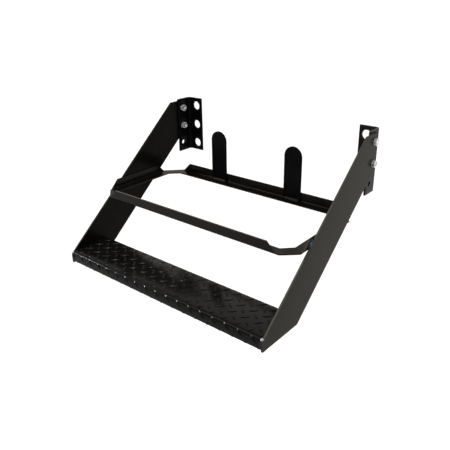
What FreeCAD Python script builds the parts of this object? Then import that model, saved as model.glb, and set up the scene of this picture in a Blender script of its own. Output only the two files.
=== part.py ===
import FreeCAD, Part
import math
import os

os.makedirs("parts", exist_ok=True)

V = FreeCAD.Vector

# ---------------------------------------------------------------- driving dimensions, mm
IN = 25.4
OVERALL_W = 24.0 * IN            # over the outer faces of the two side plates
PLATE_T = 3.0 / 16.0 * IN        # side plates and mounting angles
HALF_IN = OVERALL_W / 2.0 - PLATE_T   # inner face of a side plate

# side plate outline, in Y and Z
TOE_Y = -456.5                   # front toe, also the face of the tread's lip
FOOT_Z = -279.2                  # level bottom edge
TOE_TOP_Z = -254.5               # top of the short vertical front edge
HEAD_Z = 70.2                    # level top edge
HEAD_FRONT_Y = -73.8
HEAD_REAR_Y = -20.5              # rear vertical edge
HEEL_Y = -332.8                  # rear end of the bottom edge
EDGE_SLOPE = (HEAD_Z - TOE_TOP_Z) / (HEAD_FRONT_Y - TOE_Y)   # both long edges
KNEE_Z = FOOT_Z + (HEAD_REAR_Y - HEEL_Y) * EDGE_SLOPE

# mounting angle: equal legs, flat back on Y = 0
LEG = 2.0 * IN
ANGLE_H = 6.0 * IN
ANGLE_BEND_R = 0.25 * IN          # inner radius of the fold
BIG_GAUGE = 1.25 * IN            # large-hole line to the outer face of the side leg
SMALL_GAUGE = 1.375 * IN         # small-hole line to the back of the rear leg
BIG_HOLE_R = 15.0 / 32.0 * IN
BIG_PITCH = 54.4
SMALL_HOLE_R = 0.25 * IN
SMALL_PITCH = 2.0 * IN

# lower tread: raised-pattern plate with a turned-down front lip
TREAD_T = 3.0 / 16.0 * IN
TREAD_TOP_Z = -247.8
TREAD_REAR_Y = -345.9
LIP_BOTTOM_Z = -274.0
TREAD_BEND_R = 7.0               # outer radius
LUG_L, LUG_W, LUG_H = 23.5, 5.6, 1.3
LUG_PITCH_X, LUG_PITCH_Y = 34.05, 30.3
LUG_X0 = 8.4                     # one lug of the "falling" family
LUG_S0 = 25.2                    # its distance behind the tread's front face
LUG_END_GAP = 3.5                # clear strip at the plate ends

# upper tray: folded ring with four flanges
TRAY_T = 0.125 * IN
TRAY_FRONT_Y = -351.7
TRAY_REAR_Y = -76.0
TRAY_BOTTOM_Z = -122.2
TRAY_FLANGE_H = 1.0 * IN
TRAY_CORNER_X = 41.0             # corner cuts of the outer octagon
TRAY_CORNER_FRONT = 36.0
TRAY_CORNER_REAR = 41.0
TRAY_STRIP = 27.0                # ring width, flange outer face to cut-out
CUT_CORNER = 23.0                # corner cut of the cut-out
TRAY_BEND_R = 5.4                # outer radius

# uprights
UPRIGHT_W = 2.0 * IN
UPRIGHT_T = 0.125 * IN
UPRIGHT_H = 5.375 * IN
UPRIGHT_X = 118.5

# 7/16 in hexagon bolts and nuts
BOLT_R = 7.0 / 32.0 * IN
HEX_AF = 0.625 * IN
HEAD_T = 7.1
NUT_T = 9.5
BOLT_L = 0.875 * IN
NUT_BORE_R = BOLT_R + 0.04

WELD_LEG = 5.0
EDGE_R = 0.6                     # broken edges of the cut plates

SIDES = (("left", -1.0), ("right", 1.0))


# ---------------------------------------------------------------- helpers
def save(shape, node):
    shape.exportStep("parts/%s.step" % node)


def prism(points, direction):
    wire = Part.makePolygon([V(*p) for p in points] + [V(*points[0])])
    return Part.Face(wire).extrude(V(*direction))


def cylinder(radius, length, base, axis):
    return Part.makeCylinder(radius, length, V(*base), V(*axis))


def round_edges(shape, radius, keep):
    edges = [e for e in shape.Edges if keep(e)]
    return shape.makeFillet(radius, edges) if edges else shape


def hexagon(across_flats, thickness, base, axis_sign, turn):
    """Hexagonal prism along X, one face at base, turned about its own axis."""
    r = across_flats / math.sqrt(3.0)
    pts = []
    for i in range(6):
        a = math.radians(60.0 * i + turn)
        pts.append((base[0], base[1] + r * math.cos(a), base[2] + r * math.sin(a)))
    body = prism(pts, (axis_sign * thickness, 0, 0))
    # turned corners on the outer end
    cone_r = across_flats / 2.0 * 0.98
    reach = thickness + (r - cone_r) * math.tan(math.radians(30.0))
    tall = cone_r + reach / math.tan(math.radians(30.0))
    cone = Part.makeCone(tall, cone_r - (reach - thickness) / math.tan(math.radians(30.0)),
                         reach, V(*base), V(axis_sign, 0, 0))
    return body.common(cone)


# ---------------------------------------------------------------- side plates
def side_plate(side):
    x = side * HALF_IN
    pts = [(x, TOE_Y, FOOT_Z), (x, TOE_Y, TOE_TOP_Z), (x, HEAD_FRONT_Y, HEAD_Z),
           (x, HEAD_REAR_Y, HEAD_Z), (x, HEAD_REAR_Y, KNEE_Z), (x, HEEL_Y, FOOT_Z)]
    plate = prism(pts, (side * PLATE_T, 0, 0))
    corners = [e for e in plate.Edges if e.BoundBox.XLength > 1]
    plate = plate.makeFillet(1.2, corners)
    rims = [e for e in plate.Edges if e.BoundBox.XLength < 0.01]
    plate = plate.makeFillet(EDGE_R, rims)
    for z in (0.0, SMALL_PITCH):
        start = (x - side * 2, -SMALL_GAUGE, z)
        plate = plate.cut(cylinder(SMALL_HOLE_R, PLATE_T + 4, start, (side, 0, 0)))
    return plate


# ---------------------------------------------------------------- mounting angles
def mount_angle(side):
    x0, x1 = side * HALF_IN, side * (HALF_IN - LEG)
    t, ri = PLATE_T, ANGLE_BEND_R
    ro = ri + t
    z0 = -ANGLE_H / 2.0
    k = math.sqrt(0.5)
    cx, cy = x0 - side * ro, -ro

    def p(x, y):
        return V(x, y, z0)
    edges = [
        Part.makeLine(p(x1, 0), p(cx, 0)),
        Part.Arc(p(cx, 0), p(cx + side * ro * k, cy + ro * k), p(x0, cy)).toShape(),
        Part.makeLine(p(x0, cy), p(x0, -LEG)),
        Part.makeLine(p(x0, -LEG), p(x0 - side * t, -LEG)),
        Part.makeLine(p(x0 - side * t, -LEG), p(x0 - side * t, cy)),
        Part.Arc(p(x0 - side * t, cy), p(cx + side * ri * k, cy + ri * k), p(cx, -t)).toShape(),
        Part.makeLine(p(cx, -t), p(x1, -t)),
        Part.makeLine(p(x1, -t), p(x1, 0)),
    ]
    angle = Part.Face(Part.Wire(edges)).extrude(V(0, 0, ANGLE_H))

    def toe(e):
        c = e.BoundBox
        return c.ZLength > ANGLE_H - 1 and (
            abs(c.Center.x - x1) < 0.01 or abs(c.Center.y + LEG) < 0.01)
    angle = round_edges(angle, EDGE_R, toe)
    angle = round_edges(angle, EDGE_R, lambda e: e.BoundBox.ZLength < 0.01)
    for i in (-1, 0, 1):
        big = (x0 - side * BIG_GAUGE, -t - 2, i * BIG_PITCH)
        small = (x0 - side * (t + 2), -SMALL_GAUGE, i * SMALL_PITCH)
        angle = angle.cut(cylinder(BIG_HOLE_R, t + 4, big, (0, 1, 0)))
        angle = angle.cut(cylinder(SMALL_HOLE_R, t + 4, small, (side, 0, 0)))
    return angle


# ---------------------------------------------------------------- lower tread
def lens(u, v, angle, length, width):
    """Outline of one raised lug, pointed at both ends, in a flat (u, v) sheet."""
    bulge = width / 2.0
    c, s = math.cos(math.radians(angle)), math.sin(math.radians(angle))

    def at(p, q):
        return V(u + p * c - q * s, v + p * s + q * c, 0)
    ends = at(-length / 2.0, 0), at(length / 2.0, 0)
    arcs = [Part.Arc(ends[0], at(0, bulge), ends[1]), Part.Arc(ends[1], at(0, -bulge), ends[0])]
    return Part.Face(Part.Wire([a.toShape() for a in arcs]))


def lug_rows():
    """Centres (x, s, angle); s is measured back along the sheet from the front face."""
    rows = []
    for j in range(-2, 5):
        for family, (dx, ds, angle) in enumerate(((0.0, 0.0, 135.0),
                                                  (LUG_PITCH_X / 2.0, LUG_PITCH_Y / 2.0, 45.0))):
            s = LUG_S0 + j * LUG_PITCH_Y + ds
            for i in range(-10, 11):
                x = LUG_X0 + i * LUG_PITCH_X + dx
                if abs(x) < HALF_IN + LUG_L:
                    rows.append((x, s, angle))
    return rows


def tread_section(grow):
    """Section of the sheet in Y and Z, its outer skin moved out by grow."""
    r = TREAD_BEND_R + grow
    ri = TREAD_BEND_R - TREAD_T
    y, z = TOE_Y - grow, TREAD_TOP_Z + grow
    k = math.sqrt(0.5)
    cy, cz = TOE_Y + TREAD_BEND_R, TREAD_TOP_Z - TREAD_BEND_R
    x = -HALF_IN

    def p(a, b):
        return V(x, a, b)
    edges = [
        Part.makeLine(p(y, LIP_BOTTOM_Z), p(y, cz)),
        Part.Arc(p(y, cz), p(cy - r * k, cz + r * k), p(cy, z)).toShape(),
        Part.makeLine(p(cy, z), p(TREAD_REAR_Y, z)),
        Part.makeLine(p(TREAD_REAR_Y, z), p(TREAD_REAR_Y, TREAD_TOP_Z - TREAD_T)),
        Part.makeLine(p(TREAD_REAR_Y, TREAD_TOP_Z - TREAD_T), p(cy, TREAD_TOP_Z - TREAD_T)),
        Part.Arc(p(cy, TREAD_TOP_Z - TREAD_T), p(cy - ri * k, cz + ri * k),
                 p(TOE_Y + TREAD_T, cz)).toShape(),
        Part.makeLine(p(TOE_Y + TREAD_T, cz), p(TOE_Y + TREAD_T, LIP_BOTTOM_Z)),
        Part.makeLine(p(TOE_Y + TREAD_T, LIP_BOTTOM_Z), p(y, LIP_BOTTOM_Z)),
    ]
    return Part.Face(Part.Wire(edges)).extrude(V(2 * HALF_IN, 0, 0))


def lower_tread():
    sheet = tread_section(0.0)
    arc = TREAD_BEND_R * math.pi / 2.0
    bend_mid = TREAD_BEND_R - arc / 2.0      # sheet distance of the bend's middle
    top_in = TREAD_BEND_R                    # sheet distance where the flat top starts
    lip_in = TREAD_BEND_R - arc              # and where the flat lip starts
    top, lip, bend = [], [], []
    for x, s, angle in lug_rows():
        half = LUG_L / 2.0 * math.sqrt(0.5)
        if s + half < lip_in - 22 or s - half > TREAD_REAR_Y - TOE_Y:
            continue
        if s - half >= top_in - 1.0:
            f = lens(x, TOE_Y + s, angle, LUG_L, LUG_W)
            f.translate(V(0, 0, TREAD_TOP_Z - 0.5))
            top.append(f.extrude(V(0, 0, LUG_H + 0.5)))
        elif s + half <= lip_in + 1.5:
            f = lens(x, s - lip_in, angle, LUG_L, LUG_W)
            f.rotate(V(0, 0, 0), V(1, 0, 0), 90)
            f.translate(V(0, TOE_Y + 0.5, TREAD_TOP_Z - TREAD_BEND_R))
            lip.append(f.extrude(V(0, -(LUG_H + 0.5), 0)))
        else:
            f = lens(x, (s - bend_mid) * 1.05, angle, LUG_L, LUG_W)
            f.rotate(V(0, 0, 0), V(1, 0, 0), 45)
            cy = TOE_Y + TREAD_BEND_R
            cz = TREAD_TOP_Z - TREAD_BEND_R
            f.translate(V(0, cy, cz))
            bend.append(f.extrude(V(0, -12, 12)))
    room = Part.makeBox(2 * (HALF_IN - LUG_END_GAP), TREAD_REAR_Y - TOE_Y + 3, 60,
                        V(-(HALF_IN - LUG_END_GAP), TOE_Y - 3, LIP_BOTTOM_Z))
    rear_trim = Part.makeBox(2 * HALF_IN, 30, 40, V(-HALF_IN, TREAD_REAR_Y - 0.6, TREAD_TOP_Z - 1))
    skin = tread_section(LUG_H)
    flat = Part.makeCompound(top + lip).common(room).cut(rear_trim)
    wrapped = Part.makeCompound(bend).common(skin).common(room)
    lugs = [s for s in flat.Solids + wrapped.Solids if s.Volume > 1.5]
    tread = sheet.multiFuse(lugs).removeSplitter()
    return tread.Solids[0] if len(tread.Solids) == 1 else tread


# ---------------------------------------------------------------- upper tray
def octagon(x, y0, y1, cut_x, cut_front, cut_rear, z):
    a, f, r = x - cut_x, y0 + cut_front, y1 - cut_rear
    return [(-a, y0, z), (a, y0, z), (x, f, z), (x, r, z), (a, y1, z), (-a, y1, z), (-x, r, z), (-x, f, z)]


def flange_bar(along_x, wall, inward, a0, a1):
    """L-section strip: flat base, outer bend radius and flange; wall is the flange's outer face."""
    r, ri, t = TRAY_BEND_R, TRAY_BEND_R - TRAY_T, TRAY_T
    z0, z1 = TRAY_BOTTOM_Z, TRAY_BOTTOM_Z + TRAY_FLANGE_H
    k = math.sqrt(0.5)

    def p(d, z):
        c = wall + inward * d
        return V(a0, c, z) if along_x else V(c, a0, z)
    edges = [
        Part.makeLine(p(0, z1), p(0, z0 + r)),
        Part.Arc(p(0, z0 + r), p(r - r * k, z0 + r - r * k), p(r, z0)).toShape(),
        Part.makeLine(p(r, z0), p(r + 4, z0)),
        Part.makeLine(p(r + 4, z0), p(r + 4, z0 + t)),
        Part.makeLine(p(r + 4, z0 + t), p(r, z0 + t)),
        Part.Arc(p(r, z0 + t), p(r - ri * k, z0 + r - ri * k), p(t, z0 + r)).toShape(),
        Part.makeLine(p(t, z0 + r), p(t, z1)),
        Part.makeLine(p(t, z1), p(0, z1)),
    ]
    d = V(a1 - a0, 0, 0) if along_x else V(0, a1 - a0, 0)
    return Part.Face(Part.Wire(edges)).extrude(d)


def tray_frame():
    x, y0, y1 = HALF_IN, TRAY_FRONT_Y, TRAY_REAR_Y
    r, z0 = TRAY_BEND_R, TRAY_BOTTOM_Z
    inset = Part.makeBox(2 * (x - r), y1 - y0 - 2 * r, TRAY_T, V(-x + r, y0 + r, z0))
    cuts = (TRAY_CORNER_X, TRAY_CORNER_FRONT, TRAY_CORNER_REAR)
    base = prism(octagon(x, y0, y1, *cuts, z0), (0, 0, TRAY_T)).common(inset)
    bars = [flange_bar(True, y0, 1, -x, x), flange_bar(True, y1, -1, -x, x),
            flange_bar(False, -x, 1, y0, y1), flange_bar(False, x, -1, y0, y1)]
    column = prism(octagon(x, y0, y1, *cuts, z0 - 1), (0, 0, TRAY_FLANGE_H + 2))
    # flange ends: each slopes back at 45 degrees from its foot
    h = TRAY_FLANGE_H
    xe, e0, e1 = x - TRAY_CORNER_X, y0 + TRAY_CORNER_FRONT, y1 - TRAY_CORNER_REAR
    slope_x = prism([(-xe, y0 - 1, z0), (xe, y0 - 1, z0), (xe - h, y0 - 1, z0 + h),
                     (-xe + h, y0 - 1, z0 + h)], (0, y1 - y0 + 2, 0))
    slope_y = prism([(-x - 1, e0, z0), (-x - 1, e1, z0), (-x - 1, e1 - h, z0 + h),
                     (-x - 1, e0 + h, z0 + h)], (2 * x + 2, 0, 0))
    foot = Part.makeBox(2 * x + 2, y1 - y0 + 2, TRAY_T, V(-x - 1, y0 - 1, z0))
    keep_x, keep_y = slope_x.fuse(foot), slope_y.fuse(foot)
    trimmed = [bars[0].common(column).common(keep_x), bars[1].common(column).common(keep_x),
               bars[2].common(column).common(keep_y), bars[3].common(column).common(keep_y)]
    ring = base.multiFuse(trimmed)
    cutout = octagon(x - TRAY_STRIP, y0 + TRAY_STRIP, y1 - TRAY_STRIP,
                     CUT_CORNER, CUT_CORNER, CUT_CORNER, z0 - 1)
    hole = prism(cutout, (0, 0, TRAY_T + 2))
    return ring.cut(hole).removeSplitter()


# ---------------------------------------------------------------- uprights
def upright(side):
    cx = side * UPRIGHT_X
    rear = TRAY_REAR_Y - TRAY_T
    front = rear - UPRIGHT_T
    z0 = TRAY_BOTTOM_Z + TRAY_T
    r = UPRIGHT_W / 2.0
    zc = z0 + UPRIGHT_H - r
    bar = Part.makeBox(UPRIGHT_W, UPRIGHT_T, zc - z0, V(cx - r, front, z0))
    bar = bar.fuse(cylinder(r, UPRIGHT_T, (cx, front, zc), (0, 1, 0))).removeSplitter()
    bar = round_edges(bar, EDGE_R, lambda e: e.BoundBox.YLength < 0.01 and e.BoundBox.ZLength > 1)
    relief = TRAY_BEND_R - TRAY_T + 0.3
    return bar.cut(prism([(cx - r - 1, rear, z0), (cx - r - 1, rear - relief, z0),
                          (cx - r - 1, rear, z0 + relief)], (UPRIGHT_W + 2, 0, 0)))


# ---------------------------------------------------------------- fasteners
def bolt(side, z, turn):
    seat = side * (HALF_IN + PLATE_T)
    head = hexagon(HEX_AF, HEAD_T, (seat, -SMALL_GAUGE, z), side, turn)
    shank = cylinder(BOLT_R, BOLT_L - 1.0, (seat, -SMALL_GAUGE, z), (-side, 0, 0))
    tip = Part.makeCone(BOLT_R, BOLT_R - 0.9, 1.0, V(seat - side * (BOLT_L - 1.0), -SMALL_GAUGE, z),
                        V(-side, 0, 0))
    return head.fuse(shank).fuse(tip).removeSplitter()


def nut(side, z, turn):
    seat = side * (HALF_IN - PLATE_T)
    body = hexagon(HEX_AF, NUT_T, (seat, -SMALL_GAUGE, z), -side, turn)
    return body.cut(cylinder(NUT_BORE_R, NUT_T + 4, (seat + side * 2, -SMALL_GAUGE, z), (-side, 0, 0)))


# ---------------------------------------------------------------- weld beads
def bead(start, run, wall_a, wall_b, leg):
    """Fillet bead with a slightly crowned face, along run, in the corner of two walls."""
    s, a, b = V(*start), V(*wall_a), V(*wall_b)
    pa, pb = s + a * leg, s + b * leg
    mid = s + (a + b) * (leg * 0.58)
    face = Part.Face(Part.Wire([Part.makeLine(s, pa), Part.Arc(pa, mid, pb).toShape(),
                                Part.makeLine(pb, s)]))
    return face.extrude(V(*run))


def tread_weld(side):
    """Under the tread, along the side plate, and a short run behind the lip."""
    x = side * HALF_IN
    y0 = TOE_Y + TREAD_T + 6.0
    z = TREAD_TOP_Z - TREAD_T
    return bead((x, y0, z), (0, TREAD_REAR_Y - 4.0 - y0, 0), (-side, 0, 0), (0, 0, -1), WELD_LEG)


def tread_front_weld(side):
    """Crowned bead on the flush joint of lip and plate, ending in a lump at the bend."""
    x = side * (HALF_IN + 0.3)
    half, proud, deep = 2.6, 1.2, 1.0
    z0 = LIP_BOTTOM_Z + 1.5
    z1 = TREAD_TOP_Z - TREAD_BEND_R + 2.0
    a, b = V(x - half, TOE_Y, z0), V(x + half, TOE_Y, z0)
    c, d = V(x + half, TOE_Y + deep, z0), V(x - half, TOE_Y + deep, z0)
    face = Part.Face(Part.Wire([Part.Arc(a, V(x, TOE_Y - proud, z0), b).toShape(),
                                Part.makeLine(b, c), Part.makeLine(c, d), Part.makeLine(d, a)]))
    run = face.extrude(V(0, 0, z1 - z0))
    lump = Part.makeSphere(4.2, V(side * (HALF_IN + 1.5), TOE_Y + 3.1, TREAD_TOP_Z - 2.9))
    bead_shape = run.fuse(lump).cut(side_plate(side)).cut(tread_section(0.0)).removeSplitter()
    return max(bead_shape.Solids, key=lambda solid: solid.Volume)


def tray_weld(side, rear):
    """On the tray flange's outer face, along the side plate's sloping edge."""
    x = side * HALF_IN
    edge = math.atan(EDGE_SLOPE)
    up = (0, math.cos(edge), math.sin(edge))
    ahead = (0, -math.sin(edge), math.cos(edge)) if not rear else (0, math.sin(edge), -math.cos(edge))
    z = TRAY_BOTTOM_Z + TRAY_BEND_R + (4.0 if not rear else 1.0)
    if rear:
        y = HEEL_Y + (z - FOOT_Z) / EDGE_SLOPE
        length = 13.0
    else:
        y = TOE_Y + (z - TOE_TOP_Z) / EDGE_SLOPE
        length = 17.0
    run = tuple(c * length for c in up)
    return bead((x, y, z), run, ahead, (side, 0, 0), 4.0)


def upright_weld(side):
    cx = side * UPRIGHT_X
    front = TRAY_REAR_Y - TRAY_T - UPRIGHT_T
    z0 = TRAY_BOTTOM_Z + TRAY_T
    half = UPRIGHT_W / 2.0 - 3.0
    return bead((cx - half, front, z0), (2 * half, 0, 0), (0, -1, 0), (0, 0, 1), 4.0)


# ---------------------------------------------------------------- build
save(lower_tread(), "lower_tread")
save(tray_frame(), "tray_frame")
TURNS = {("left", "lower"): (12.0, 41.0), ("left", "upper"): (27.0, 30.0),
         ("right", "lower"): (20.0, 8.0), ("right", "upper"): (4.0, 17.0)}
for name, side in SIDES:
    save(side_plate(side), name + "_side_plate")
    save(mount_angle(side), name + "_mount_angle")
    save(upright(side), name + "_upright")
    save(upright_weld(side), name + "_upright_weld")
    save(tread_weld(side), name + "_tread_weld")
    save(tread_front_weld(side), name + "_tread_front_weld")
    save(tray_weld(side, False), name + "_tray_front_weld")
    save(tray_weld(side, True), name + "_tray_rear_weld")
    for level, z in (("lower", 0.0), ("upper", SMALL_PITCH)):
        head_turn, nut_turn = TURNS[(name, level)]
        save(bolt(side, z, head_turn), "%s_%s_bolt" % (name, level))
        save(nut(side, z, nut_turn), "%s_%s_nut" % (name, level))
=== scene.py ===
import math
import random

import bmesh
import bpy
import numpy as np
from mathutils import Matrix, Vector, noise


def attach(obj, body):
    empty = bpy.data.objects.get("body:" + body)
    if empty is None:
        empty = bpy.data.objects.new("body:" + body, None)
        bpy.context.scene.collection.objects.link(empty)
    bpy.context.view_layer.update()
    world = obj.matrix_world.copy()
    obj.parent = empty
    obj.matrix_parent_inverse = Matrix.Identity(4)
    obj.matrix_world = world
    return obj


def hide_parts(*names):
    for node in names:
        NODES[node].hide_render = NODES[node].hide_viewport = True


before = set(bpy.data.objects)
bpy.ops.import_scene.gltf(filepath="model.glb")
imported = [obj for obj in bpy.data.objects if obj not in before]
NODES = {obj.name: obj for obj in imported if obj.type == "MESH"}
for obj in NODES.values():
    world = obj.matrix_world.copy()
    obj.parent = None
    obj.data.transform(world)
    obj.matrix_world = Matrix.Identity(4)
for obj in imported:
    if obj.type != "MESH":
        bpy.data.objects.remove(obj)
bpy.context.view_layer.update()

MM = 0.001
SIDES = (("left", -1.0), ("right", 1.0))

# side plates, repeated from the CAD source like all sizes down to the uprights, mm
HALF_IN = 300.0375               # inner face of a side plate
PLATE_T = 4.7625
TOE_Y, TOE_TOP_Z = -456.5, -254.5
HEEL_Y, FOOT_Z = -332.8, -279.2
HEAD_FRONT_Y, HEAD_Z = -73.8, 70.2
EDGE_SLOPE = (HEAD_Z - TOE_TOP_Z) / (HEAD_FRONT_Y - TOE_Y)
EDGE_ANGLE = math.atan(EDGE_SLOPE)

# tread
TREAD_T = 4.7625
TREAD_TOP_Z = -247.8
TREAD_REAR_Y = -345.9
LIP_BOTTOM_Z = -274.0
TREAD_BEND_R = 7.0               # outer radius
TREAD_EDGE_R = 0.55
BEND_Y, BEND_Z = TOE_Y + TREAD_BEND_R, TREAD_TOP_Z - TREAD_BEND_R
LIP_START = TREAD_BEND_R - TREAD_BEND_R * math.pi / 2.0   # along the unrolled sheet

# raised pattern, laid out on the unrolled sheet
LUG_L, LUG_W, LUG_H = 23.5, 5.6, 1.28
LUG_SHOULDER = 1.35              # width of the rounded rise to a lug's flat top
LUG_RIM_DROP = 0.03              # rim of the dome, below the sheet's face
LUG_SINK = 0.4                   # foot of the closed lug, below the sheet's face
LUG_PITCH_X, LUG_PITCH_Y = 34.05, 30.3
LUG_FIRST_X, LUG_FIRST_ALONG = 8.4, 25.2
LUG_REACH = LUG_L / 2.0 * math.sqrt(0.5) + 1.0
LUG_MAX_X = HALF_IN - 3.5
LUG_MAX_ALONG = TREAD_REAR_Y - 0.6 - TOE_Y
LUG_MIN_ALONG = LIP_START - (BEND_Z - LIP_BOTTOM_Z) + 0.4
BEND_LUG_ANGLE, FLAT_LUG_ANGLE = 135.0, 45.0

# material slots of the tread's mesh
PLAIN_SLOT, RUBBED_SLOT, LIP_SLOT, DULL_SLOT = 0, 1, 2, 3

# bolts and nuts
BOLT_Y = -34.925
BOLT_LEVELS = (("lower", 0.0), ("upper", 50.8))
BOLT_R, BOLT_L, HEX_AF, HEAD_T, NUT_T = 5.556, 22.225, 15.875, 7.1, 9.5
NUT_BORE_R = BOLT_R + 0.04
WASHER_FACE_T = 0.4
CHAMFER_R = HEX_AF / 2.0 * 0.955
THREAD_PITCH, THREAD_DEPTH = 1.814, 0.72
THREAD_START = PLATE_T + 3.2
ROUND = 72                       # points in each ring of a turned piece
TURNS = {("left", "lower"): (12.0, 41.0), ("left", "upper"): (27.0, 30.0),
         ("right", "lower"): (20.0, 8.0), ("right", "upper"): (4.0, 17.0)}   # head, nut, degrees

# tray and uprights
TRAY_BOTTOM_Z, TRAY_T, TRAY_BEND_R, TRAY_FLANGE_H = -122.2, 3.175, 5.4, 25.4
TRAY_FRONT_Y, TRAY_REAR_Y = -351.7, -76.0
UPRIGHT_X, UPRIGHT_T = 118.5, 3.175
UPRIGHT_WELD_L = 44.8

# angles between faces above which an edge stays sharp, degrees
SHARP_TREAD, SHARP_HEX, SHARP_WELD = 40.0, 32.0, 60.0

# camera at the reference viewing angle, m
CAMERA_PLACE = (0.812828, -1.166224, 0.392250)
CAMERA_AHEAD = (-0.580769, 0.706280, -0.404817)
CAMERA_UP = (-0.248343, 0.319859, 0.914339)


# ---------------------------------------------------------------- node graph helper
class Graph:
    """One material's node tree, with its shader and a short call for each kind of node."""

    def __init__(self, name):
        self.mat = bpy.data.materials.new(name)
        self.mat.use_nodes = True
        self.tree = self.mat.node_tree
        self.tree.nodes.clear()
        out = self.tree.nodes.new("ShaderNodeOutputMaterial")
        self.bsdf = self.tree.nodes.new("ShaderNodeBsdfPrincipled")
        self.tree.links.new(self.bsdf.outputs[0], out.inputs[0])
        self.place = self.tree.nodes.new("ShaderNodeTexCoord").outputs["Object"]
        self.coord = self.place

    def put(self, socket, value):
        if isinstance(value, bpy.types.NodeSocket):
            self.tree.links.new(value, socket)
        else:
            socket.default_value = value

    def shift(self, seed):
        """Moves the noise, so that no two paints share their pattern."""
        add = self.tree.nodes.new("ShaderNodeVectorMath")
        add.inputs[1].default_value = (seed, 1.7 * seed, -seed)
        self.tree.links.new(self.coord, add.inputs[0])
        self.coord = add.outputs[0]

    def scaled(self, xyz):
        mapping = self.tree.nodes.new("ShaderNodeMapping")
        self.tree.links.new(self.coord, mapping.inputs["Vector"])
        mapping.inputs["Scale"].default_value = xyz
        return mapping.outputs[0]

    def axes(self, vector):
        split = self.tree.nodes.new("ShaderNodeSeparateXYZ")
        self.tree.links.new(vector, split.inputs[0])
        return split.outputs

    def noise(self, scale, detail=2.0, rough=0.5, vector=None, distort=0.0):
        texture = self.tree.nodes.new("ShaderNodeTexNoise")
        self.tree.links.new(vector or self.coord, texture.inputs["Vector"])
        texture.inputs["Scale"].default_value = scale
        texture.inputs["Detail"].default_value = detail
        texture.inputs["Roughness"].default_value = rough
        texture.inputs["Distortion"].default_value = distort
        return texture.outputs["Fac"]

    def spread(self, value, low, high, to_low=0.0, to_high=1.0):
        limits = self.tree.nodes.new("ShaderNodeMapRange")
        limits.clamp = True
        self.put(limits.inputs["Value"], value)
        for key, limit in (("From Min", low), ("From Max", high), ("To Min", to_low), ("To Max", to_high)):
            limits.inputs[key].default_value = limit
        return limits.outputs[0]

    def math(self, operation, a, b=0.0):
        node = self.tree.nodes.new("ShaderNodeMath")
        node.operation = operation
        self.put(node.inputs[0], a)
        self.put(node.inputs[1], b)
        return node.outputs[0]

    def blend(self, a, share_a, b, share_b):
        return self.math("ADD", self.math("MULTIPLY", a, share_a), self.math("MULTIPLY", b, share_b))

    def mix(self, amount, a, b):
        node = self.tree.nodes.new("ShaderNodeMix")
        node.data_type = "RGBA"
        self.put(node.inputs["Factor"], amount)
        for i, color in ((6, a), (7, b)):
            self.put(node.inputs[i], color if isinstance(color, bpy.types.NodeSocket) else (*color, 1.0))
        return node.outputs[2]

    def bump(self, height, distance, strength, normal=None):
        node = self.tree.nodes.new("ShaderNodeBump")
        self.put(node.inputs["Height"], height)
        node.inputs["Distance"].default_value = distance
        node.inputs["Strength"].default_value = strength
        if normal is not None:
            self.tree.links.new(normal, node.inputs["Normal"])
        return node.outputs[0]

    def edges(self, radius):
        """1 along edges and corners, 0 on flats."""
        bevel = self.tree.nodes.new("ShaderNodeBevel")
        bevel.samples = 4
        bevel.inputs["Radius"].default_value = radius
        geometry = self.tree.nodes.new("ShaderNodeNewGeometry")
        dot = self.tree.nodes.new("ShaderNodeVectorMath")
        dot.operation = "DOT_PRODUCT"
        self.tree.links.new(bevel.outputs[0], dot.inputs[0])
        self.tree.links.new(geometry.outputs["Normal"], dot.inputs[1])
        return self.spread(dot.outputs["Value"], 0.995, 0.9)

    def finish(self, color, rough, normal=None, metallic=0.0, spec=0.5, coat=0.0):
        shader = self.bsdf.inputs
        self.put(shader["Base Color"], color)
        self.put(shader["Roughness"], rough)
        if normal is not None:
            self.put(shader["Normal"], normal)
        shader["Metallic"].default_value = metallic
        shader["Specular IOR Level"].default_value = spec
        shader["Coat Weight"].default_value = coat
        shader["Coat Roughness"].default_value = 0.1
        return self.mat


# ---------------------------------------------------------------- materials
def cut_edge_ribs_and_highlight(g, base, normal, cut):
    """Sheared and cut edges of a plate: fine ribs across the thickness, and the edge faces painted lighter
    as a highlight.
    """
    geometry = g.tree.nodes.new("ShaderNodeNewGeometry")
    across = g.math("ABSOLUTE", g.axes(geometry.outputs["True Normal"])[0])
    edge = g.spread(across, 0.6, 0.3)
    ribs = g.noise(1.0, 3.0, 0.6, g.scaled((90.0, 1100.0, 1100.0)))
    normal = g.bump(g.math("MULTIPLY", ribs, edge), 0.00012, 0.7, normal)
    # the edge faces take a lighter tone, scaled by cut: a painted highlight
    return g.mix(edge, base, (0.0050 * cut, 0.0047 * cut, 0.0042 * cut)), normal


def rim_highlight(g, base, light, height, front):
    """Top edge of the tray's front flange painted lighter: a painted highlight line; sizes in m."""
    axes = g.axes(g.place)
    top = g.spread(axes[2], height - 0.0006, height)
    ahead = g.spread(axes[1], front + 0.006, front + 0.004)
    return g.mix(g.math("MULTIPLY", top, ahead), base, tuple(10.0 * c for c in light))


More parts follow.
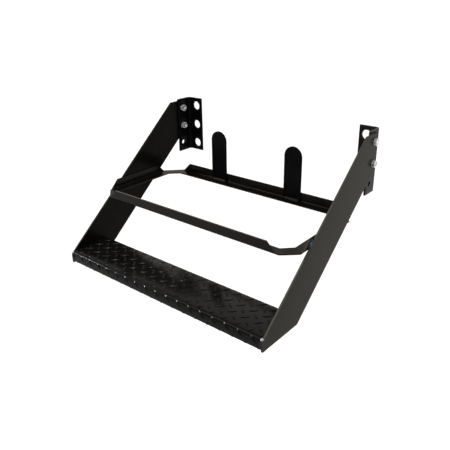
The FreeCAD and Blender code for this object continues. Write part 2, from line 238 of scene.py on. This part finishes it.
def paint(name, dark, light, rough=(0.18, 0.28), spec=0.1, cut=0.0, edge_highlight=2.5, rim=None, seed=0.0):
    """Satin black powder coat: broad tone drift, fine grain, orange peel, a painted highlight lighter along
    the edges.
    """
    g = Graph(name)
    g.shift(seed)
    broad = g.noise(5.0, 3.0, 0.55, distort=0.4)
    smudge = g.noise(34.0, 4.0, 0.6, distort=0.8)
    grain = g.noise(2600.0, 2.0, 0.7)
    tone = g.math("ADD", g.blend(broad, 0.55, smudge, 0.3), g.math("MULTIPLY", grain, 0.15))
    base = g.mix(g.spread(tone, 0.36, 0.64), dark, light)
    # Painted highlight: edges and corners painted lighter, patchy with the smudge noise.
    thin = g.math("MULTIPLY", g.edges(0.0011), g.spread(smudge, 0.35, 0.7, 0.25, 0.8))
    base = g.mix(thin, base, tuple(edge_highlight * c + 0.008 for c in light))
    gloss = g.spread(g.blend(smudge, 0.6, broad, 0.4), 0.35, 0.65, rough[0], rough[1])
    gloss = g.math("ADD", gloss, g.spread(grain, 0.3, 0.7, -0.015, 0.02))
    normal = g.bump(g.noise(240.0, 2.0, 0.4), 0.00006, 0.3)
    normal = g.bump(g.noise(1300.0, 2.0, 0.5), 0.000008, 0.3, normal)
    # cut edge faces get ribs and a painted highlight
    if cut:
        base, normal = cut_edge_ribs_and_highlight(g, base, normal, cut)
    # painted highlight line along the tray's top edge, where rim is given
    if rim is not None:
        base = rim_highlight(g, base, light, *rim)
    return g.finish(base, gloss, normal, spec=spec)


def rubbed(name):
    """The same paint, flattened and polished where the press brake bore on the lugs, with a painted
    highlight: a lighter tone toward the right.
    """
    g = Graph(name)
    blot = g.noise(500.0, 2.0, 0.6)
    base = g.mix(g.spread(blot, 0.4, 0.7), (0.045, 0.046, 0.050), (0.085, 0.087, 0.095))
    # Painted highlight: from x = 0 to 0.14 m the crests go over to an even lighter tone, so their dots show
    # where the glint lamp does not reach.
    base = g.mix(g.spread(g.axes(g.coord)[0], 0.0, 0.14), base, (0.09, 0.09, 0.10))
    normal = g.bump(g.noise(1400.0, 2.0), 0.00002, 0.3)
    return g.finish(base, g.spread(blot, 0.3, 0.7, 0.15, 0.24), normal, metallic=0.8, coat=0.1)


def bare_weld(name, low, high, metal):
    """Weld metal showing through thin paint."""
    g = Graph(name)
    blot = g.noise(420.0, 3.0, 0.6, distort=1.0)
    base = g.mix(g.spread(blot, low, high), (0.012, 0.013, 0.017), metal)
    normal = g.bump(blot, 0.00015, 0.5)
    return g.finish(base, g.spread(blot, 0.3, 0.7, 0.42, 0.24), normal, metallic=0.85)


def weld_paint(name, dark, light):
    """Paint over a weld: blotched, with fine grit, and edges painted lighter as a highlight."""
    g = Graph(name)
    blot = g.noise(260.0, 3.0, 0.6, distort=1.2)
    fine = g.noise(1800.0, 2.0, 0.6)
    base = g.mix(g.spread(blot, 0.35, 0.65), dark, light)
    # edges painted lighter: a painted highlight
    base = g.mix(g.math("MULTIPLY", g.edges(0.0008), 0.6), base, (0.014, 0.015, 0.018))
    gloss = g.spread(g.blend(blot, 0.7, fine, 0.3), 0.35, 0.65, 0.2, 0.42)
    normal = g.bump(blot, 0.00022, 0.6)
    normal = g.bump(fine, 0.00005, 0.5, normal)
    return g.finish(base, gloss, normal, spec=0.12)


def zinc(name, tint, metallic):
    """Zinc plate: bright and dull patches, partly the plating's mottle and partly painted reflection, faint
    yellow stain, edges painted lighter as a highlight, drag marks along the bolt.
    """
    g = Graph(name)
    blot = g.noise(250.0, 3.0, 0.55, distort=1.0)
    fine = g.noise(3200.0, 2.0, 0.6)
    drag = g.noise(1.0, 2.0, 0.6, g.scaled((300.0, 2600.0, 2600.0)))
    # bright and dull patches: the plating's mottle, which also stands in for the facets' reflections, a
    # painted reflection
    base = g.mix(g.spread(blot, 0.44, 0.52), tuple(0.20 * c for c in tint), tint)
    base = g.mix(g.spread(g.noise(700.0, 2.0), 0.60, 0.75), base, (0.30, 0.28, 0.22))
    # edges painted lighter: a painted highlight
    base = g.mix(g.math("MULTIPLY", g.edges(0.0006), 0.5), base, (0.85, 0.88, 0.92))
    gloss = g.spread(g.blend(blot, 0.5, fine, 0.5), 0.35, 0.65, 0.20, 0.38)
    normal = g.bump(drag, 0.00004, 0.5)
    normal = g.bump(blot, 0.00006, 0.5, normal)
    return g.finish(base, gloss, normal, metallic=metallic)


# dark and light tone of each paint; the right plate's brown, lighter and warmer than the left plate's tone,
# is a painted warm reflection
RIGHT_LIT_BROWN = ((0.0040, 0.0031, 0.0012), (0.0105, 0.0082, 0.0036))
WARM = ((0.0022, 0.0020, 0.0014), (0.0050, 0.0046, 0.0034))
COOL = ((0.0010, 0.0010, 0.0015), (0.0024, 0.0024, 0.0032))
NEUTRAL = ((0.0014, 0.0013, 0.0013), (0.0034, 0.0032, 0.0030))
TRAY_TONE = ((0.0022, 0.0017, 0.0013), (0.0052, 0.0041, 0.0032))
# height and front of the painted highlight line on the tray's front flange
TRAY_RIM_HIGHLIGHT = ((TRAY_BOTTOM_Z + TRAY_FLANGE_H - 0.2) * MM, TRAY_FRONT_Y * MM)

# The right plate and right angle get lighter, warmer tones than the left ones: lit and shaded copies of one
# black paint.
RIGHT_PLATE_LIT_PAINT = paint("plate_paint_right_lit", *RIGHT_LIT_BROWN, spec=0.067, cut=9.0, edge_highlight=5.0, seed=0.3)
LEFT_PLATE_SHADED_PAINT = paint("plate_paint_left_shaded", *WARM, spec=0.033, cut=4.0, edge_highlight=8.0, seed=1.1)
TREAD_PAINT = paint("tread_paint", *NEUTRAL, rough=(0.11, 0.18), spec=0.11, seed=2.7)
LIP_PAINT = paint("tread_paint_lip", *NEUTRAL, rough=(0.14, 0.22), spec=0.052, seed=2.7)
DULL_PAINT = paint("tread_paint_dull", *NEUTRAL, rough=(0.30, 0.42), spec=0.015, edge_highlight=1.2, seed=2.7)
RUBBED_GLINT_PAINT = rubbed("tread_paint_rubbed_glint")
TRAY_PAINT = paint("tray_paint", *TRAY_TONE, spec=0.095, edge_highlight=1.2, rim=TRAY_RIM_HIGHLIGHT, seed=3.9)
# right angle painted as the lit copy, left angle as the shaded copy
ANGLE_LIT_AND_SHADED_PAINT = {"left": paint("angle_paint_left_shaded", *COOL, spec=0.035, seed=5.3),
               "right": paint("angle_paint_right_lit", *WARM, spec=0.08, seed=6.1)}
UPRIGHT_PAINT = paint("upright_paint", *COOL, spec=0.03, seed=7.7)
WELD_PAINT = weld_paint("weld_paint", *COOL)
BARE_WELD = bare_weld("weld_bare", 0.42, 0.60, (0.62, 0.66, 0.74))
THIN_WELD_PAINT = bare_weld("weld_thin_paint", 0.50, 0.66, (0.20, 0.22, 0.27))
ZINC = zinc("zinc_plate", (0.95, 0.97, 0.98), 0.55)
# threads, nut bore and countersink in dark zinc: painted shade in these recesses
SHADED_THREAD_ZINC = zinc("zinc_thread_shaded", (0.13, 0.15, 0.17), 0.9)


# ---------------------------------------------------------------- mesh helpers
def new_piece(name, bm, materials, replaces, sharp_angle):
    """A detailed piece in place of a CAD node."""
    me = bpy.data.meshes.new(name)
    bm.to_mesh(me)
    bm.free()
    me.validate()
    me.shade_smooth()
    me.set_sharp_from_angle(angle=math.radians(sharp_angle))
    for material in materials:
        me.materials.append(material)
    ob = bpy.data.objects.new(name, me)
    bpy.context.scene.collection.objects.link(ob)
    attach(ob, "root")
    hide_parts(replaces)


def soften(node, width):
    """Breaks the sharp edges of a CAD node with modifiers; width in mm."""
    ob = NODES[node]
    weld = ob.modifiers.new("weld", "WELD")
    weld.merge_threshold = 0.00002
    bevel = ob.modifiers.new("edge", "BEVEL")
    bevel.width = width * MM
    bevel.segments = 2
    bevel.limit_method = "ANGLE"
    bevel.angle_limit = math.radians(38.0)
    bevel.miter_outer = "MITER_ARC"
    bevel.use_clamp_overlap = True
    shade = ob.modifiers.new("shade", "WEIGHTED_NORMAL")
    shade.keep_sharp = False
    shade.weight = 60


def dress(node, material):
    for entry in NODES[node].material_slots:
        entry.material = material


def solid(verts, faces, second=(0, 0)):
    """Mesh from lists; quads whose corners all lie in the index range second take material slot 1."""
    bm = bmesh.new()
    corners = [bm.verts.new(v) for v in verts]
    for numbers in faces:
        try:
            face = bm.faces.new([corners[i] for i in numbers])
        except ValueError:
            continue
        in_second = all(second[0] <= i < second[1] for i in numbers)
        face.material_index = int(len(numbers) == 4 and in_second)
    bmesh.ops.remove_doubles(bm, verts=bm.verts[:], dist=1e-7)
    bmesh.ops.recalc_face_normals(bm, faces=bm.faces[:])
    return bm


def joined(a, b):
    """Adds mesh b to mesh a."""
    me = bpy.data.meshes.new("joined")
    b.to_mesh(me)
    b.free()
    a.from_mesh(me)
    bpy.data.meshes.remove(me)
    return a


# ---------------------------------------------------------------- tread
def wrap(x, along, height):
    """From the unrolled sheet (x, distance behind the front face, height) to the bent tread, mm."""
    if along >= TREAD_BEND_R:
        return x, TOE_Y + along, TREAD_TOP_Z + height
    if along >= LIP_START:
        angle = (TREAD_BEND_R - along) / TREAD_BEND_R
        radius = TREAD_BEND_R + height
        return x, BEND_Y - radius * math.sin(angle), BEND_Z + radius * math.cos(angle)
    return x, TOE_Y - height, BEND_Z + along - LIP_START


def tread_outline():
    """Section of the bent sheet as points (y, z), with small rounded edges."""
    def corner(y, z, first):
        return [(y + TREAD_EDGE_R * math.cos(math.radians(a)), z + TREAD_EDGE_R * math.sin(math.radians(a)))
                for a in range(first + 90, first - 1, -30)]

    def bend(radius, angles):
        return [(BEND_Y - radius * math.cos(math.radians(a)), BEND_Z + radius * math.sin(math.radians(a)))
                for a in angles]
    outline = corner(TOE_Y + TREAD_T - TREAD_EDGE_R, LIP_BOTTOM_Z + TREAD_EDGE_R, 270)
    outline += corner(TOE_Y + TREAD_EDGE_R, LIP_BOTTOM_Z + TREAD_EDGE_R, 180)
    outline += bend(TREAD_BEND_R, np.linspace(0, 90, 15))
    outline += corner(TREAD_REAR_Y - TREAD_EDGE_R, TREAD_TOP_Z - TREAD_EDGE_R, 0)
    outline += corner(TREAD_REAR_Y - TREAD_EDGE_R, TREAD_TOP_Z - TREAD_T + TREAD_EDGE_R, 270)
    outline += bend(TREAD_BEND_R - TREAD_T, np.linspace(90, 0, 9))
    return outline


def tread_sheet(bm):
    """The bent sheet, extruded from plate to plate."""
    outline = tread_outline()
    rows = [[bm.verts.new((x * MM, y * MM, z * MM)) for y, z in outline]
            for x in np.linspace(-HALF_IN, HALF_IN, 41)]
    for row, after in zip(rows, rows[1:]):
        for i in range(len(outline)):
            j = (i + 1) % len(outline)
            face = bm.faces.new((row[i], after[i], after[j], row[j]))
            y = face.calc_center_median().y
            if y < BEND_Y * MM:
                face.material_index = LIP_SLOT
            elif y > (TREAD_REAR_Y - TREAD_EDGE_R) * MM:
                face.material_index = DULL_SLOT
    bm.faces.new(rows[0])
    bm.faces.new(rows[-1][::-1])


def lug_dome(x_mid, along_mid, angle, rng):
    """Upper side of one lug on the unrolled sheet: rows of points (x, along, height)."""
    length = LUG_L + rng.uniform(-0.5, 0.5)
    half = LUG_W / 2.0 + rng.uniform(-0.15, 0.15)
    side_r = (length * length / 4.0 + half * half) / (2.0 * half)
    cos, sin = math.cos(math.radians(angle)), math.sin(math.radians(angle))
    lengthwise = [math.sin(math.pi / 2.0 * k / 13.0) for k in range(-13, 14)]
    crosswise = (-1.0, -0.9, -0.76, -0.58, -0.36, 0.0, 0.36, 0.58, 0.76, 0.9, 1.0)
    grid = []
    for a in lengthwise:
        p = a * length / 2.0
        width = max(0.0, math.sqrt(max(0.0, side_r ** 2 - p * p)) - (side_r - half))
        row = []
        for b in crosswise:
            q = b * width
            rise = min(1.0, (1.0 - abs(b)) * width / LUG_SHOULDER)
            rise = rise * rise * (3.0 - 2.0 * rise)
            height = LUG_H * rise * min(1.0, 0.86 + 0.14 * width / half) - LUG_RIM_DROP
            row.append((x_mid + p * cos - q * sin, along_mid + p * sin + q * cos, height))
        grid.append(row)
    return grid


def clipped(bm, point, outward):
    geom = bm.verts[:] + bm.edges[:] + bm.faces[:]
    bmesh.ops.bisect_plane(bm, geom=geom, plane_co=point, plane_no=outward, clear_outer=True)


def closed(bm, depth):
    """Carries the rim of a patch down into the sheet and closes it there."""
    rim = [e for e in bm.edges if e.is_boundary]
    for item in bmesh.ops.extrude_edge_only(bm, edges=rim)["geom"]:
        if isinstance(item, bmesh.types.BMVert):
            item.co.z = -depth
    bmesh.ops.holes_fill(bm, edges=[e for e in bm.edges if e.is_boundary])


def lug(x, along, angle, rng):
    """One closed lug on the unrolled sheet, cut off where the pattern ends, mm."""
    bm = bmesh.new()
    grid = [[bm.verts.new(p) for p in row] for row in lug_dome(x, along, angle, rng)]
    for row, after in zip(grid, grid[1:]):
        for k in range(len(row) - 1):
            bm.faces.new((row[k], after[k], after[k + 1], row[k + 1]))
    bmesh.ops.remove_doubles(bm, verts=bm.verts[:], dist=0.01)
    if x + LUG_REACH > LUG_MAX_X:
        clipped(bm, (LUG_MAX_X, 0, 0), (1, 0, 0))
    if x - LUG_REACH < -LUG_MAX_X:
        clipped(bm, (-LUG_MAX_X, 0, 0), (-1, 0, 0))
    if along + LUG_REACH > LUG_MAX_ALONG:
        clipped(bm, (0, LUG_MAX_ALONG, 0), (0, 1, 0))
    if along - LUG_REACH < LUG_MIN_ALONG:
        clipped(bm, (0, LUG_MIN_ALONG, 0), (0, -1, 0))
    closed(bm, LUG_SINK)
    bm.normal_update()
    return bm


def lug_slot(face, x, angle):
    """Material slot of a lug's face: rubbed on the bend, lip paint in front, dull flanks at the right."""
    center = face.calc_center_median()
    on_bend = angle == BEND_LUG_ANGLE
    if center.z < 0.0:
        return PLAIN_SLOT
    if on_bend and -0.8 < center.y < 4.2 and center.z > 0.66:
        return RUBBED_SLOT
    if on_bend and center.y < -1.5:
        return DULL_SLOT
    if center.y < 8.0:
        return LIP_SLOT
    if abs(face.normal.z) < 0.95 and x > 30.0:
        return DULL_SLOT
    return PLAIN_SLOT


def add_lug(bm, x, along, angle, rng):
    flat = lug(x, along, angle, rng)
    copy = {v: bm.verts.new([c * MM for c in wrap(*v.co)]) for v in flat.verts}
    for face in flat.faces:
        bent = bm.faces.new([copy[v] for v in face.verts])
        bent.material_index = lug_slot(face, x, angle)
    flat.free()


def tread():
    """The bent sheet with its raised pattern, two slants of lug in turn."""
    rng = random.Random(7)
    bm = bmesh.new()
    tread_sheet(bm)
    for j in range(-2, 5):
        for half_pitch, angle in ((0.0, BEND_LUG_ANGLE), (0.5, FLAT_LUG_ANGLE)):
            along = LUG_FIRST_ALONG + j * LUG_PITCH_Y + half_pitch * LUG_PITCH_Y
            for i in range(-10, 11):
                x = LUG_FIRST_X + i * LUG_PITCH_X + half_pitch * LUG_PITCH_X
                past_side = abs(x) - LUG_REACH > LUG_MAX_X
                past_lip = along + LUG_REACH < LUG_MIN_ALONG
                past_rear = along - LUG_REACH > LUG_MAX_ALONG
                if not (past_side or past_lip or past_rear):
                    add_lug(bm, x, along, angle, rng)
    bmesh.ops.recalc_face_normals(bm, faces=bm.faces[:])
    return bm


# ---------------------------------------------------------------- fasteners
def circle(radius):
    return lambda angle: radius


def hexagon(turn):
    """Outline of a head or nut with slightly rounded corners, a corner at angle turn."""
    def radius(angle):
        a = (angle - turn + math.pi / 6.0) % (math.pi / 3.0) - math.pi / 6.0
        flat = HEX_AF / 2.0 / math.cos(math.pi / 6.0 - abs(a))
        return min(flat, HEX_AF / math.sqrt(3.0) - 0.22 + 0.16 * abs(a) / (math.pi / 6.0) * 0.5)
    return radius


def hex_rings(low, high, turn, both_ends):
    """Rings of a hexagon from low to high, chamfered at the high end or at both."""
    outline = hexagon(turn)

    def drop(angle):
        return max(0.0, outline(angle) - CHAMFER_R) * math.tan(math.radians(30.0))
    if both_ends:
        rings = [(low, circle(CHAMFER_R)), (lambda angle: low + drop(angle), outline)]
    else:
        rings = [(low, lambda angle: outline(angle) - 0.01), (low, outline)]
    return rings + [(lambda angle: high - drop(angle), outline), (high, circle(CHAMFER_R))]


def ring_faces(first, count, inward=False):
    """Quads between successive rings of points, from vertex number first."""
    faces = []
    for j in range(count - 1):
        near = first + j * ROUND
        far = near + ROUND
        for k in range(ROUND):
            m = (k + 1) % ROUND
            if inward:
                faces.append((near + k, far + k, far + m, near + m))
            else:
                faces.append((near + k, near + m, far + m, far + k))
    return faces


def ring_points(side, x, z, rings):
    """Points round a bolt's axis. A ring is a distance and a radius, plain or functions of the angle."""
    points = []
    for distance, radius in rings:
        for k in range(ROUND):
            angle = 2.0 * math.pi * k / ROUND
            d = distance(angle) if callable(distance) else distance
            r = radius(angle)
            points.append(((x + side * d) * MM, (BOLT_Y + r * math.cos(angle)) * MM,
                           (z + r * math.sin(angle)) * MM))
    return points


def thread(distance, depth):
    """Radius of the threaded shank at this distance from the head, as a function of the angle."""
    def radius(angle):
        phase = (distance / THREAD_PITCH + angle / (2.0 * math.pi)) % 1.0
        ridge = min(1.0, 1.35 * (1.0 - abs(2.0 * phase - 1.0)))
        point = BOLT_R - 1.05 + max(0.0, BOLT_L - distance) * 0.9
        return min(BOLT_R - 0.02 - THREAD_DEPTH * (1.0 - ridge) * depth, point)
    return radius


def bolt(side, z, turn):
    """Hexagon head with a washer face and a dished top, and the threaded shank."""
    seat = side * (HALF_IN + PLATE_T)
    washer = circle(HEX_AF / 2.0 * 0.96)
    head = [(0.0, circle(BOLT_R)), (0.0, washer), (WASHER_FACE_T, washer)]
    head += hex_rings(WASHER_FACE_T, HEAD_T, math.radians(turn), False)
    head += [(HEAD_T, circle(HEX_AF * 0.33)), (HEAD_T - 0.18, circle(HEX_AF * 0.30)),
             (HEAD_T - 0.18, circle(0.02))]
    verts = ring_points(side, seat, z, head)
    faces = ring_faces(0, len(head))
    faces.append(tuple(range(len(verts) - ROUND, len(verts))))

    steps = int((BOLT_L - THREAD_START) / (THREAD_PITCH / 7.0))
    shank = [(0.0, circle(BOLT_R))]
    for j in range(steps + 1):
        distance = THREAD_START + j * (BOLT_L - THREAD_START) / steps
        shank.append((distance, thread(distance, min(1.0, j / 5.0))))
    first = len(verts)
    verts += ring_points(-side, seat, z, shank)
    faces += ring_faces(first, len(shank), inward=True)
    faces.append(tuple(range(len(verts) - ROUND, len(verts))))
    return solid(verts, faces, (first, len(verts) - ROUND))


def nut(side, z, turn):
    """Hexagon nut, chamfered at both ends, with a countersunk bore."""
    rings = [(0.8, circle(NUT_BORE_R)), (0.02, circle(NUT_BORE_R + 0.9))]
    rings += hex_rings(0.02, NUT_T, math.radians(turn), True)
    rings += [(NUT_T, circle(NUT_BORE_R + 1.5)), (NUT_T - 1.3, circle(NUT_BORE_R)),
              (0.8, circle(NUT_BORE_R))]
    verts = ring_points(-side, side * (HALF_IN - PLATE_T), z, rings)
    return solid(verts, ring_faces(0, len(rings)), (len(verts) - 3 * ROUND, len(verts)))


# ---------------------------------------------------------------- weld beads
def ripple(distance, pitch):
    """Saw-like lap of one puddle over the last, 0 to 1."""
    phase = (distance / pitch) % 1.0
    return math.sin(math.pi * min(1.0, phase * 1.25)) ** 0.6


def taper(distance, length, run_in):
    """0 at both ends of a bead, rising as a quarter circle to 1 over run_in."""
    end = min(1.0, min(distance, length - distance) / run_in + 0.02)
    return math.sqrt(max(0.0, 1.0 - (1.0 - end) ** 2))


def drift(seed, distance, row):
    return noise.noise(Vector((seed, distance, row)))


def bead_solid(verts, ring):
    """Closed mesh over rings of points in mm, each of ring points."""
    last = len(verts) // ring - 1
    faces = []
    for i in range(last):
        for k in range(ring):
            j = (k + 1) % ring
            faces.append((i * ring + k, (i + 1) * ring + k, (i + 1) * ring + j, i * ring + j))
    faces.append(tuple(range(ring)))
    faces.append(tuple(last * ring + k for k in range(ring)))
    return solid([v * MM for v in verts], faces)


def bead(start, run, wall_a, wall_b, leg, crown, seed, pitch=2.3):
    """Rippled fillet bead in the corner of two walls; start, run in mm."""
    lap, around = 0.16, 14
    start, along = Vector(start), Vector(run)
    a, b = Vector(wall_a).normalized(), Vector(wall_b).normalized()
    length = along.length
    along.normalize()
    out = (a + b).normalized()
    steps = max(24, int(length / 0.32))
    verts = []
    for i in range(steps + 1):
        t = length * i / steps
        end = taper(t, length, 0.75 * leg)
        waver = 1.0 + 0.10 * drift(seed, t * 0.22, 0.0)
        verts.append(start + along * t - out * 0.05)
        for k in range(around + 1):
            f = k / around
            bow = 4.0 * f * (1.0 - f)
            crest = ripple(t + bow * 1.3 + 0.3 * drift(seed, t * 0.5, 5.0), pitch)
            size = leg * end * waver * (1.0 - lap * 0.5 * (1.0 - crest))
            point = a * (1.0 - f) * size + b * f * size
            point += out * (crown * bow * end * (1.0 - lap * (1.0 - crest)))
            grit = drift(seed + f * 3.0, t * 0.9, f * 2.0) * 0.08 * bow
            verts.append(start + along * t + point + out * grit)
    return bead_solid(verts, around + 2)


def flat_bead(start, run, across, out, half, proud, seed):
    """Rippled crowned bead lying on a flush joint; start, run, half and proud in mm."""
    pitch, around = 2.2, 14
    start, along = Vector(start), Vector(run)
    across, out = Vector(across).normalized(), Vector(out).normalized()
    length = along.length
    along.normalize()
    steps = max(24, int(length / 0.3))
    verts = []
    for i in range(steps + 1):
        t = length * i / steps
        end = taper(t, length, half)
        waver = 1.0 + 0.12 * drift(seed, t * 0.3, 2.0)
        for k in range(around + 1):
            f = 2.0 * k / around - 1.0
            bow = 1.0 - f * f
            crest = ripple(t + bow * 1.2 + 0.3 * drift(seed, t * 0.6, 7.0), pitch)
            height = proud * (bow ** 0.8) * end * (1.0 - 0.28 * (1.0 - crest)) - 0.06
            verts.append(start + along * t + across * (f * half * end * waver) + out * height)
        verts.append(start + along * t - out * 0.5)
    return bead_solid(verts, around + 2)


def lump(center, radii, seed):
    """Blob of weld metal: a noisy, slightly drooping ellipsoid in material slot 1."""
    bm = bmesh.new()
    bmesh.ops.create_icosphere(bm, subdivisions=4, radius=1.0)
    for v in bm.verts:
        p = v.co.copy()
        p *= 1.0 + 0.10 * noise.noise(p * 1.6 + Vector((seed, 0, 0))) + 0.03 * noise.noise(p * 5.0)
        p.z -= 0.10 * (1.0 - p.x * p.x)
        v.co = (Vector(center) + Vector((p.x * radii[0], p.y * radii[1], p.z * radii[2]))) * MM
    for face in bm.faces:
        face.material_index = 1
    return bm


# ---------------------------------------------------------------- pieces in place of CAD nodes
def add_fasteners(name, side):
    for level, z in BOLT_LEVELS:
        head_turn, nut_turn = TURNS[(name, level)]
        for kind, bm in (("bolt", bolt(side, z, head_turn)), ("nut", nut(side, z, nut_turn))):
            part = "%s_%s_%s" % (name, level, kind)
            new_piece(part + "_detail", bm, (ZINC, SHADED_THREAD_ZINC), part, SHARP_HEX)


def add_tread_weld(name, side, seed):
    """Under the tread, along the side plate."""
    front = TOE_Y + TREAD_T + 6.0
    bm = bead((side * HALF_IN, front, TREAD_TOP_Z - TREAD_T), (0, TREAD_REAR_Y - 4.0 - front, 0),
              (-side, 0, 0), (0, 0, -1), 5.0, 0.9, seed)
    new_piece(name + "_tread_bead", bm, (WELD_PAINT,), name + "_tread_weld", SHARP_WELD)


def add_lip_weld(name, side, seed):
    """On the lip's joint to the side plate, ending in a lump of bare metal at the bend."""
    low, high = LIP_BOTTOM_Z + 1.2, BEND_Z + 2.4
    bm = flat_bead((side * (HALF_IN + 0.3), TOE_Y, low), (0, 0, high - low), (1, 0, 0), (0, -1, 0),
                   2.6, 1.2, seed + 4)
    blob = lump((side * (HALF_IN + 1.0), TOE_Y + 3.3, TREAD_TOP_Z - 2.7), (3.6, 3.9, 3.6), seed)
    new_piece(name + "_front_bead", joined(bm, blob), (WELD_PAINT, BARE_WELD),
              name + "_tread_front_weld", SHARP_WELD)


def add_tray_weld(name, side, end, corner, facing, lift, length, leg, material, seed):
    """From a tray flange to the plate's front or rear sloping edge, which starts at corner (y, z)."""
    z = TRAY_BOTTOM_Z + TRAY_BEND_R + lift
    y = corner[0] + (z - corner[1]) / EDGE_SLOPE
    run = (0, length * math.cos(EDGE_ANGLE), length * math.sin(EDGE_ANGLE))
    ahead = (0, -facing * math.sin(EDGE_ANGLE), facing * math.cos(EDGE_ANGLE))
    bm = bead((side * HALF_IN, y, z), run, ahead, (side, 0, 0), leg, 0.8, seed, 2.0)
    new_piece("%s_tray_%s_bead" % (name, end), bm, (material,),
              "%s_tray_%s_weld" % (name, end), SHARP_WELD)


def add_upright_weld(name, side, seed):
    """Along the foot of the upright, on its front."""
    start = (side * UPRIGHT_X - UPRIGHT_WELD_L / 2.0, TRAY_REAR_Y - (TRAY_T + UPRIGHT_T),
             TRAY_BOTTOM_Z + TRAY_T)
    bm = bead(start, (UPRIGHT_WELD_L, 0, 0), (0, -1, 0), (0, 0, 1), 4.0, 0.7, seed)
    new_piece(name + "_upright_bead", bm, (WELD_PAINT,), name + "_upright_weld", SHARP_WELD)


dress("right_side_plate", RIGHT_PLATE_LIT_PAINT)
dress("left_side_plate", LEFT_PLATE_SHADED_PAINT)
dress("tray_frame", TRAY_PAINT)
soften("tray_frame", 0.45)
for name, side in SIDES:
    dress(name + "_mount_angle", ANGLE_LIT_AND_SHADED_PAINT[name])
    dress(name + "_upright", UPRIGHT_PAINT)
    soften(name + "_upright", 0.3)
    soften(name + "_mount_angle", 0.3)
    soften(name + "_side_plate", 0.25)

new_piece("tread", tread(), (TREAD_PAINT, RUBBED_GLINT_PAINT, LIP_PAINT, DULL_PAINT),
          "lower_tread", SHARP_TREAD)
for name, side in SIDES:
    seed = 3.0 + side
    add_fasteners(name, side)
    add_tread_weld(name, side, seed)
    add_lip_weld(name, side, seed)
    add_tray_weld(name, side, "front", (TOE_Y, TOE_TOP_Z), 1.0, 1.5, 20.5, 4.6, THIN_WELD_PAINT, seed + 2)
    add_tray_weld(name, side, "rear", (HEEL_Y, FOOT_Z), -1.0, 1.0, 13.0, 4.0, WELD_PAINT, seed + 9)
    add_upright_weld(name, side, seed + 6)


# ---------------------------------------------------------------- stage, light, camera
def stage_floor():
    """Wide pale disc below the step, lit a little from itself so that it stays white."""
    bm = bmesh.new()
    bmesh.ops.create_circle(bm, cap_ends=True, segments=96, radius=60.0)
    me = bpy.data.meshes.new("floor")
    bm.to_mesh(me)
    bm.free()
    ob = bpy.data.objects.new("floor", me)
    ob.location = (0, -0.24, -0.60)
    bpy.context.scene.collection.objects.link(ob)
    g = Graph("floor_pale")
    tone = g.mix(g.noise(0.8, 2.0), (0.74, 0.74, 0.74), (0.76, 0.76, 0.76))
    g.put(g.bsdf.inputs["Emission Color"], (1.0, 1.0, 1.0, 1.0))
    g.bsdf.inputs["Emission Strength"].default_value = 0.31
    me.materials.append(g.finish(tone, 0.9, spec=0.0))


def place_facing(ob, place, x, y, z):
    """Stands an object at a place with these three axes."""
    m = Matrix((x, y, z)).transposed().to_4x4()
    m.translation = place
    ob.matrix_world = m
    bpy.context.scene.collection.objects.link(ob)


def area(name, place, target, size, power, spread):
    """Rectangular lamp at place, facing target; spread in degrees."""
    data = bpy.data.lights.new(name, "AREA")
    data.shape = "RECTANGLE"
    data.size, data.size_y = size
    data.energy = power
    data.spread = math.radians(spread)
    z = (Vector(place) - Vector(target)).normalized()
    x = Vector((0, 0, 1)).cross(z).normalized()
    place_facing(bpy.data.objects.new(name, data), place, x, z.cross(x), z)


def camera():
    data = bpy.data.cameras.new("camera")
    data.sensor_width = 36.0
    data.lens = 43.776
    data.shift_x, data.shift_y = -0.013517, -0.011407
    data.clip_end = 200.0
    ob = bpy.data.objects.new("camera", data)
    ahead, up = Vector(CAMERA_AHEAD), Vector(CAMERA_UP)
    place_facing(ob, CAMERA_PLACE, ahead.cross(up), up, -ahead)
    bpy.context.scene.camera = ob


def toward(sky, coord, direction, edge, core, inside, outside):
    """Sky radiance, changing from outside to inside around a direction (limits as cosines)."""
    aim = sky.nodes.new("ShaderNodeVectorMath")
    aim.operation = "DOT_PRODUCT"
    aim.inputs[1].default_value = Vector(direction).normalized()
    fade = sky.nodes.new("ShaderNodeMapRange")
    fade.interpolation_type = "SMOOTHSTEP"
    fade.inputs["From Min"].default_value = edge
    fade.inputs["From Max"].default_value = core
    mix = sky.nodes.new("ShaderNodeMix")
    mix.data_type = "RGBA"
    sky.links.new(coord, aim.inputs[0])
    sky.links.new(aim.outputs["Value"], fade.inputs["Value"])
    sky.links.new(fade.outputs[0], mix.inputs["Factor"])
    if isinstance(outside, bpy.types.NodeSocket):
        sky.links.new(outside, mix.inputs[6])
    else:
        mix.inputs[6].default_value = (*outside, 1.0)
    mix.inputs[7].default_value = (*inside, 1.0)
    return mix.outputs[2]


def studio_sky():
    """White all round, dimmer behind the left, with a small bright panel high on the left front."""
    world = bpy.data.worlds.new("studio")
    bpy.context.scene.world = world
    world.use_nodes = True
    sky = world.node_tree
    coord = sky.nodes.new("ShaderNodeTexCoord").outputs["Generated"]
    tone = (0.90, 0.90, 0.90)
    tone = toward(sky, coord, (-0.58, 0.66, 0.36), 0.74, 0.88, (0.86, 0.80, 0.73), tone)
    tone = toward(sky, coord, (-0.93, 0.25, 0.27), 0.82, 0.95, (0.60, 0.60, 0.60), tone)
    tone = toward(sky, coord, (-0.48, -0.38, 0.79), 0.965, 0.990, (8.0, 7.5, 6.8), tone)
    back = sky.nodes["Background"]
    sky.links.new(tone, back.inputs["Color"])
    back.inputs["Strength"].default_value = 1.0


stage_floor()
studio_sky()
# softbox above the middle of the tread: rims of light on the lugs
area("softbox", (-0.08, -0.53, 0.75), (-0.05, -0.40, -0.25), (0.44, 0.50), 0.9, 22.0)
# small light low on the left front: glints on the lugs that cross the bend
area("glint", (-1.0, -0.95, 0.20), (0.0, -0.455, -0.25), (0.12, 0.12), 0.55, 60.0)
bpy.context.scene.view_settings.view_transform = "Standard"
camera()
